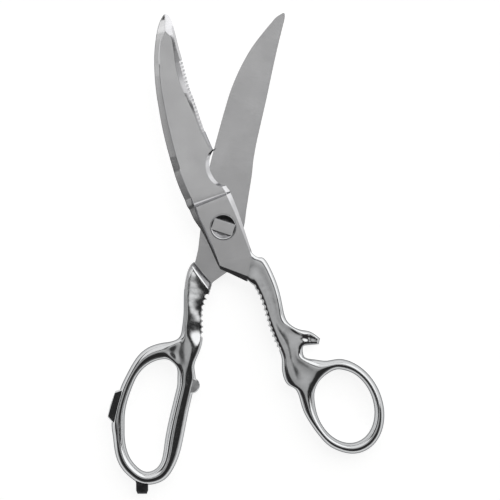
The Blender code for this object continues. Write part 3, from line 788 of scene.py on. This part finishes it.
FORGING = [satin_steel, polished_steel, plated_steel, painted_dark_steel, recess_shade_steel]
front_steps = [
    ("UNION", front_cage),
    ("DIFFERENCE", grip_cutters(FRONT_TEETH, 1)),
    ("DIFFERENCE", disc(BORE_RADIUS, -BORE_OVERCUT, FULL_DEPTH + BORE_OVERCUT)),
    ("DIFFERENCE", disc(SEAT_RADIUS, FRONT_SEAT, FULL_DEPTH + BORE_OVERCUT)),
]
assemble("front_forging", front_plate, front_steps, FORGING, OPENING / 2,
         "front", "front_half", cage=0)


# Rear half: the other forging, under the front one. Its blade is plain and
# shows its flat ground face; below the block a sloped collar rises to the
# plated shank, the finger bow with its lid prise, and the screwdriver tip.
REAR_FACE = MATING_PLANE - FACE_GAP / 2
REAR_SEAT = HEAD_THICKNESS + CLEARANCE
REAR_LAND = 3.0
REAR_BLOCK_SPINE_SHARE = 0.75
REAR_BLADE = [
    (1.6, 95.7, 0.9, 95.6, 0.2, 0.2, 0.7),
    (1.9, 95.1, 0.2, 94.9, 0.5, 0.5, 0.5),
    (2.2, 93.6, -1.2, 93.4, 0.8, 0.8, 0.2),
    (2.3, 90.1, -2.9, 90.1, 1.4, 1.4, 0.0),
    (2.4, 84.0, -5.7, 84.0, 2.2, 2.0, 0.0),
    (2.6, 78.0, -8.1, 78.0, 2.6, 2.2, 0.0),
    (3.0, 69.4, -10.4, 69.4, 2.8, 2.2, 0.0),
    (3.6, 58.2, -12.1, 58.2, 2.8, 2.2, 0.0),
    (4.0, 47.6, -12.5, 47.6, 2.8, 2.2, 0.0),
    (4.5, 36.7, -12.6, 36.7, 2.8, 2.2, 0.0),
    (5.0, 31.4, -12.6, 31.4, 2.8, 2.0, 0.0),
    (6.0, 25.0, -12.5, 25.0, 2.6, 1.8, 0.0),
    (6.8, 17.5, -12.1, 17.5, 2.4, 1.6, 0.0),
]
REAR_BLOCK = [
    (7.6, 10.0, -11.2, 10.0, 1.4, 1.4),
    (8.3, 4.9, -10.4, 4.9, 1.2, 1.2),
    (9.0, -3.0, -9.2, -4.0, 1.0, 1.0),
    (9.3, -9.0, -8.0, -12.0, 0.9, 0.9),
    (9.5, -12.6, -7.8, -18.0, 0.8, 0.8),
    (8.6, -15.8, 1.3, -24.6, 0.8, 0.8),
]
REAR_ROW_SPACING = 0.8


def rear_section(row, depth, land, spine_share=0.5):
    """The rear half's section: the flat mating face is up, the bevels below."""
    spine, edge = Vector(row[0:2]), Vector(row[2:4])
    width, spine_bevel, edge_bevel = (edge - spine).length, row[4], row[5]
    return set_across([
        (0, 0, 0.12, BRIGHT), (0, depth * spine_share, 0.2, BRIGHT),
        (min(spine_bevel, BEVEL_LIMIT * width), depth, 0.2, SATIN),
        (width - min(edge_bevel, BEVEL_LIMIT * width), depth, 0.2, BRIGHT),
        (width, land, 0, BRIGHT), (width, 0, 0, SATIN)], spine, edge, REAR_FACE, -1)


rings = []
for row in through(REAR_BLADE, REAR_ROW_SPACING):
    rings.append(rear_section(row, thickness(row[1]) - max(row[6], 0), EDGE_LAND))
for row in REAR_BLOCK:
    rings.append(rear_section(row, REAR_FACE, REAR_LAND, REAR_BLOCK_SPINE_SHARE))
rear_plate = bmesh.new()
loft(rear_plate, rings)

REAR_SHANK = [
    ((3.6, -15.6), (-6.2, -11.0), 0.5, 3.6, 0.88),
    ((1.7, -24.3), (-7.9, -17.4), LOW, 3.8, 0.88),
    ((1.6, -25.0), (-8.3, -17.8), LOW, 4.4, 0.88, 0.95),
    ((1.5, -27.7), (-9.2, -18.9), LOW, 6.1, 0.86, 0.93, 0.2),
    ((1.4, -28.7), (-9.5, -19.9), LOW, 6.5, 0.86, 0.86, 0.3),
    ((1.2, -30.6), (-9.9, -23.4), LOW, 7.0, 0.84, 0.82, 0.5),
    ((0.7, -33.6), (-9.3, -30.0), LOW, 7.6, 0.80, 0.78, 0.5),
    ((0.9, -38.0), (-8.1, -35.4), LOW, 8.0, 0.78, 0.74, 0.5),
    ((2.3, -42.4), (-6.7, -41.2), LOW, 8.15, 0.78, 0.74, 0.5),
    ((3.4, -47.0), (-5.9, -46.6), LOW, HIGH, 0.78, 0.76, 0.5),
    ((4.1, -51.6), (-6.2, -51.0), LOW, HIGH, 0.78, 0.88, 0.25),
    ((3.6, -57.0), (-6.6, -57.0), LOW, HIGH, 0.78, 0.93, 0.1),
    ((3.5, -61.2), (-3.9, -63.3), LOW, HIGH, 0.76, 0.90, 0.1),
    ((5.2, -65.4), (-2.4, -67.2), LOW, HIGH, 0.72, 0.72, 0.15),
    ((5.6, -69.2), (-1.6, -70.6), LOW, HIGH, 0.70, 0.70, 0.12),
    ((5.8, -73.4), (-1.4, -74.6), LOW, HIGH, 0.70, 0.70, 0.12),
    ((6.0, -79.4), (-1.3, -79.4), LOW, HIGH, 0.70, 0.70, 0.12),
    ((6.5, -87.0), (-1.1, -87.0), LOW, HIGH, 0.70, 0.70, 0.12),
    ((7.0, -95.0), (-0.5, -95.0), LOW, HIGH, 0.70, 0.70, 0.1),
    ((6.8, -102.0), (0.3, -101.8), LOW, HIGH, 0.70, 0.70, 0.05),
    ((5.0, -109.2), (-0.2, -106.2), LOW, HIGH, 0.71),
    ((1.2, -113.6), (-2.4, -109.1), LOW, HIGH, 0.71),
    ((-4.8, -115.8), (-5.9, -110.2), LOW, HIGH, 0.71),
    ((-11.0, -114.2), (-10.2, -108.5), LOW, HIGH, 0.71),
    ((-16.2, -110.8), (-14.0, -105.1), LOW, HIGH, 0.71),
    ((-20.0, -105.4), (-17.0, -99.8), LOW, HIGH, 0.71),
    ((-22.4, -99.6), (-18.6, -94.6), LOW, HIGH, 0.71),
    ((-24.3, -94.9), (-19.8, -90.0), LOW, HIGH, 0.71),
    ((-24.9, -90.4), (-20.3, -87.0), LOW, HIGH, 0.71),
    ((-25.0, -86.0), (-20.5, -83.8), LOW, HIGH, 0.71),
    ((-24.9, -81.4), (-20.4, -80.2), LOW, HIGH, 0.71),
    ((-24.7, -77.2), (-20.1, -76.8), LOW, HIGH, 0.71),
    ((-23.6, -71.4), (-19.2, -71.6), LOW, HIGH, 0.71),
    ((-21.3, -63.4), (-16.8, -66.6), LOW, HIGH, 0.72),
    ((-17.2, -57.8), (-13.4, -63.2), LOW, HIGH, 0.74),
    ((-12.6, -54.9), (-10.4, -61.6), LOW, HIGH, 0.76),
    ((-9.6, -53.6), (-7.6, -61.3), LOW, HIGH, 0.78, 0.92),
]
FINGER_ARC_AT = 10
REAR_TEETH = [(0.8, -30.6), (0.75, -35.6), (1.6, -40.0), (3.0, -44.6), (3.8, -49.4)]
rear_cage = handle_cage(REAR_SHANK, FINGER_ARC_AT)

# The collar's slope, beside the front block's foot, takes the darker recess steel: painted shade.
COLLAR_ALONG = (-28.6, -17.0)
COLLAR_HEIGHT = (4.0, 6.3)
for face in rear_cage.faces:
    centre = face.calc_center_median()
    on_slope = COLLAR_HEIGHT[0] < centre.z < COLLAR_HEIGHT[1]
    if on_slope and COLLAR_ALONG[0] < centre.y < COLLAR_ALONG[1]:
        face.material_index = PAINTED_SHADE

# Screwdriver tip: a flat bar forged onto the foot of the bow, ground thin.
DRIVER_ROOT = (-6.0, -112.4)
DRIVER_WAY = (0.259, -0.966)
DRIVER_LENGTH = 7.6
DRIVER_STEPS = [(0.0, 6.8, 5.2), (0.4, 5.2, 3.4), (0.82, 5.2, 1.4), (1.0, 4.0, 1.4)]
driver = bmesh.new()
way = Vector(DRIVER_WAY).normalized()
side = Vector((-way.y, way.x))
rings = []
for share, width, depth in DRIVER_STEPS:
    centre = Vector(DRIVER_ROOT) + way * DRIVER_LENGTH * share
    # The tip takes the dark steel: a painted dark reflection.
    points, _ = soften([(u * width / 2, v * depth / 2, 0.3, DARK)
                        for u, v in ((-1, -1), (1, -1), (1, 1), (-1, 1))])
    spots = [(centre + side * u, MATING_PLANE + v) for u, v in points]
    rings.append(([(spot.x, spot.y, z) for spot, z in spots], [DARK] * len(spots)))
loft(driver, rings)

# The lid prise is a flat tab on the outside of the bow, and the stop a round
# lug that meets the other half's when the shears close. Neither rises above
# the bow's crown, and both have their rims broken.
LID_TAB = [(-22.2, -77.4), (-26.6, -80.2), (-27.15, -86.4), (-26.85, -91.6),
           (-23.4, -93.8), (-22.0, -86.0)]
LID_TAB_DEPTH = (1.0, 8.2)
LID_TAB_SLOPE = Vector((-0.24, 0.0))
STOP_CENTRE, STOP_RADIUS = (4.5, -69.3), 3.45
STOP_DEPTH = (1.2, 6.6)
STOP_SLOPE = Vector((-0.07, 0.02))
STOP_SIDES = 32
RIM_BREAK = 0.5


def flat_lug(outline, low, high, slope):
    """A lug of an upright outline, its top sloping, its two rims chamfered."""
    bm = bmesh.new()
    middle = sum((Vector(point) for point in outline), Vector((0, 0))) / len(outline)
    rings = []
    for inset, z in ((RIM_BREAK, low), (0, low + RIM_BREAK), (0, high - RIM_BREAK), (RIM_BREAK, high)):
        ring = []
        for point in outline:
            away = Vector(point) - middle
            spot = middle + away * (1 - inset / away.length)
            fall = slope.dot(spot - Vector(outline[3])) if z > high / 2 else 0.0
            ring.append((spot.x, spot.y, z + fall))
        rings.append((ring, [PLATED] * len(outline)))
    loft(bm, rings)
    return bm


stop_outline = [(STOP_CENTRE[0] + STOP_RADIUS * math.cos(math.tau * i / STOP_SIDES),
                 STOP_CENTRE[1] + STOP_RADIUS * math.sin(math.tau * i / STOP_SIDES))
                for i in range(STOP_SIDES)]

rear_steps = [
    ("UNION", rear_cage),
    ("UNION", flat_lug(LID_TAB, *LID_TAB_DEPTH, LID_TAB_SLOPE)),
    ("UNION", flat_lug(stop_outline, *STOP_DEPTH, STOP_SLOPE)),
    ("UNION", driver),
    ("DIFFERENCE", grip_cutters(REAR_TEETH, -1)),
    ("DIFFERENCE", disc(BORE_RADIUS, -BORE_OVERCUT, FULL_DEPTH + BORE_OVERCUT)),
    ("DIFFERENCE", disc(SEAT_RADIUS, -BORE_OVERCUT, REAR_SEAT)),
]
assemble("rear_forging", rear_plate, rear_steps, [rear_satin_steel] + FORGING[1:], -OPENING / 2,
         "rear", "rear_half", cage=0)


# Pivot bolt: turned steel, its head dished and crossed by a flat bar that a
# two-pronged key straddles. The bar is faced satin; the dish and the bar's sides take the darker recess
# steel, painted shade.
BOLT_RADIUS = 2.3
BOLT_END = 2.0
BOLT_END_BREAK = 0.3
HEAD_RIM = 5.15
DISH_FLOOR_RADIUS = 4.0
DISH_FLOOR = FULL_DEPTH - 0.85
BAR_HALF_WIDTH = 2.6
BAR_TOP = FULL_DEPTH - 0.05
HEAD_TURN = -18.0
head_base = FULL_DEPTH - HEAD_THICKNESS
# The dish's finish: the darker recess steel, painted shade in the dish and on the bar's sides.
RECESS = 2
bolt_profile = [
    (0.0, BOLT_END, BRIGHT), (BOLT_RADIUS - BOLT_END_BREAK, BOLT_END, BRIGHT),
    (BOLT_RADIUS, BOLT_END + BOLT_END_BREAK, BRIGHT),
    (BOLT_RADIUS, head_base, BRIGHT), (HEAD_RADIUS - 0.15, head_base, BRIGHT),
    (HEAD_RADIUS, head_base + 0.15, BRIGHT), (HEAD_RADIUS, FULL_DEPTH - 0.25, BRIGHT),
    (HEAD_RADIUS - 0.07, FULL_DEPTH - 0.07, BRIGHT), (HEAD_RADIUS - 0.22, FULL_DEPTH, BRIGHT),
    (HEAD_RIM, FULL_DEPTH - 0.03, BRIGHT), (HEAD_RIM - 0.25, FULL_DEPTH - 0.2, RECESS),
    (DISH_FLOOR_RADIUS, DISH_FLOOR + 0.12, RECESS),
    (DISH_FLOOR_RADIUS - 0.4, DISH_FLOOR, RECESS), (0.0, DISH_FLOOR - 0.15, RECESS)]
key_bar = bmesh.new()
bar_points, bar_finishes = soften([
    (-BAR_HALF_WIDTH, head_base + 0.3, 0, RECESS), (BAR_HALF_WIDTH, head_base + 0.3, 0, RECESS),
    (BAR_HALF_WIDTH, BAR_TOP, 0.25, SATIN), (-BAR_HALF_WIDTH, BAR_TOP, 0.25, RECESS)])
bar_reach = math.sqrt((HEAD_RADIUS - 0.2) ** 2 - BAR_HALF_WIDTH ** 2)
loft(key_bar, [([(x, u, v) for u, v in bar_points], bar_finishes) for x in (-bar_reach, bar_reach)])

assemble("pivot_bolt_turned", turned(bolt_profile), [("UNION", key_bar)],
         [satin_steel, polished_steel, recess_shade_steel], HEAD_TURN, "rear", "pivot_bolt", sharp=35)


# Pivot nut: a closed barrel nut let into the back, with two holes for a key.
BARREL_RADIUS = 3.5
BARREL_BORE = 2.6
BARREL_TOP = 5.7
NUT_CLOSED_END = 1.7
SPANNER_HOLES = [(3.8, 0.8, 0.9), (-3.8, 0.8, 0.9)]
nut_outline = [(0.0, 0.0), (HEAD_RADIUS - 0.25, 0.0), (HEAD_RADIUS, 0.25), (HEAD_RADIUS, HEAD_THICKNESS),
               (BARREL_RADIUS, HEAD_THICKNESS), (BARREL_RADIUS, BARREL_TOP - 0.2),
               (BARREL_RADIUS - 0.2, BARREL_TOP), (BARREL_BORE, BARREL_TOP),
               (BARREL_BORE, NUT_CLOSED_END), (0.0, NUT_CLOSED_END)]
nut_profile = [(r, z, BRIGHT) for r, z in nut_outline]
nut_steps = []
for x, radius, depth in SPANNER_HOLES:
    hole = disc(radius, -1.0, depth, 32)
    bmesh.ops.translate(hole, verts=hole.verts[:], vec=(x, 0, 0))
    nut_steps.append(("DIFFERENCE", hole))
assemble("pivot_nut_turned", turned(nut_profile), nut_steps, [satin_steel, polished_steel],
         0.0, "rear", "pivot_nut", sharp=35)


# Spring washer: a punched ring of blued spring steel, hidden under the head.
# The oven's blue is uneven, in patches 2 mm across.
blued_steel, tree, shader = new_material("blued_spring_steel")
patchy(tree, shader, "#5E6066", 0.38, 2.0, 0.15)
shader.inputs["Metallic"].default_value = 1.0
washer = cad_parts["spring_washer"]
washer.data.materials.clear()
washer.data.materials.append(blued_steel)
